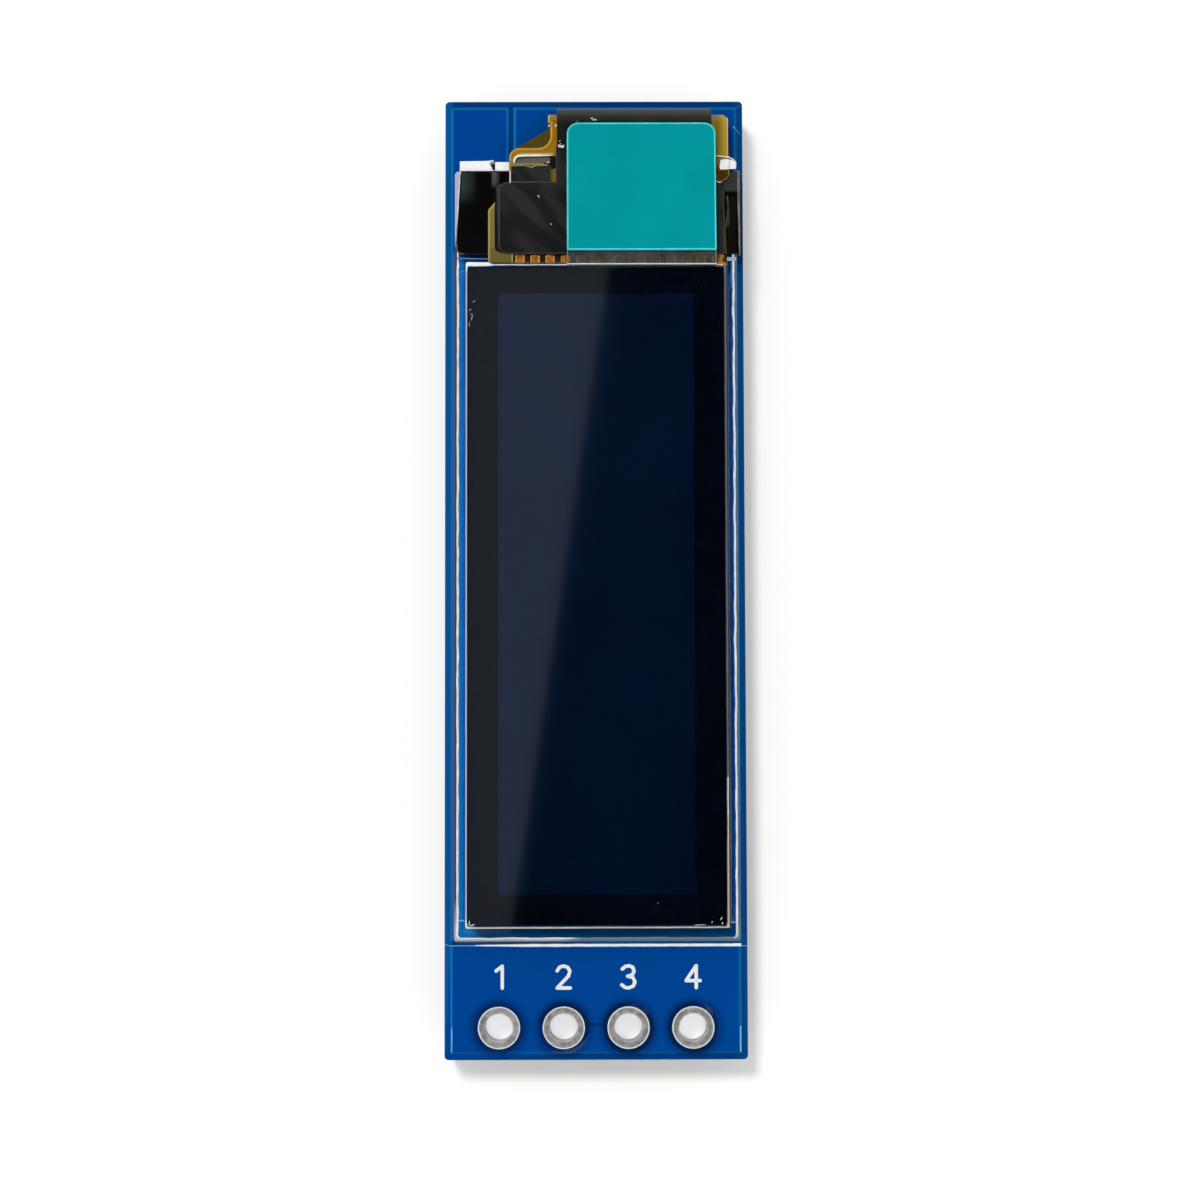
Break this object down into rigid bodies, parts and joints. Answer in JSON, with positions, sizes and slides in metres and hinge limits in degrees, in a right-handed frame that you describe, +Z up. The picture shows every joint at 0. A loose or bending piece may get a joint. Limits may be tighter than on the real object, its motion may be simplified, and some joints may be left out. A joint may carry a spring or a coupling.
{
  "type": "small oled display module",
  "caption": "Narrow circuit board carrying a small glass display panel with a folded flex cable, a clear film with a pull tab and a row of plated header holes.",
  "frame": {"origin": "centre of the board's outline, at the level of the lowest component on its back", "axes": "+X across the board, +Y along it towards the flex cable's fold, +Z up out of the display"},
  "size_m": [0.012, 0.0382, 0.0039],
  "materials": {
    "solder_mask": "gloss blue solder mask over laminate",
    "tinned_ring": "satin tinned copper",
    "mounting_tape": "double-sided tape",
    "panel_glass": "clear cut glass",
    "seal": "cured sealant",
    "emitter": "dark blue thin film",
    "polarizer": "gloss black sheet",
    "clear_film": "clear film",
    "teal_film": "teal film",
    "ledge_black": "gloss black film",
    "polyimide": "amber flex laminate",
    "copper": "plated copper",
    "silicon": "polished silicon",
    "clear_resin": "clear resin",
    "black_tape": "satin black tape",
    "white_foam": "white foam tape",
    "solder": "solder",
    "package": "moulded epoxy",
    "capacitor_ceramic": "tan ceramic, tinned ends",
    "resistor_ceramic": "black glaze on alumina, tinned ends"
  },
  "bodies": {
    "root": {"circuit_board": "solder_mask", "barrel_plating_1": "tinned_ring", "barrel_plating_2": "tinned_ring", "barrel_plating_3": "tinned_ring", "barrel_plating_4": "tinned_ring", "panel_tape": "mounting_tape", "rear_glass": "panel_glass", "edge_seal": "seal", "emitter_stack": "emitter", "front_glass": "panel_glass", "polarizer": "polarizer", "protective_film": "clear_film", "pull_tab": "teal_film", "ledge_film": "ledge_black", "flex_cable": "polyimide", "contact_leads": "copper", "driver_chip": "silicon", "bond_resin": "clear_resin", "chip_tape": "black_tape", "shoulder_tape": "black_tape", "fold_tape": "black_tape", "foam_left": "white_foam", "foam_middle": "white_foam", "liner_right": "white_foam", "tail_solder": "solder", "regulator_body": "package", "regulator_leads": "solder", "diode_body": "package", "diode_leads": "solder", "back_solder": "solder", "capacitor_1": "capacitor_ceramic", "capacitor_2": "capacitor_ceramic", "capacitor_3": "capacitor_ceramic", "capacitor_4": "capacitor_ceramic", "capacitor_5": "capacitor_ceramic", "capacitor_6": "capacitor_ceramic", "capacitor_7": "capacitor_ceramic", "resistor_1": "resistor_ceramic", "resistor_2": "resistor_ceramic", "resistor_3": "resistor_ceramic", "resistor_4": "resistor_ceramic", "resistor_5": "resistor_ceramic"}
  },
  "joints": []
}
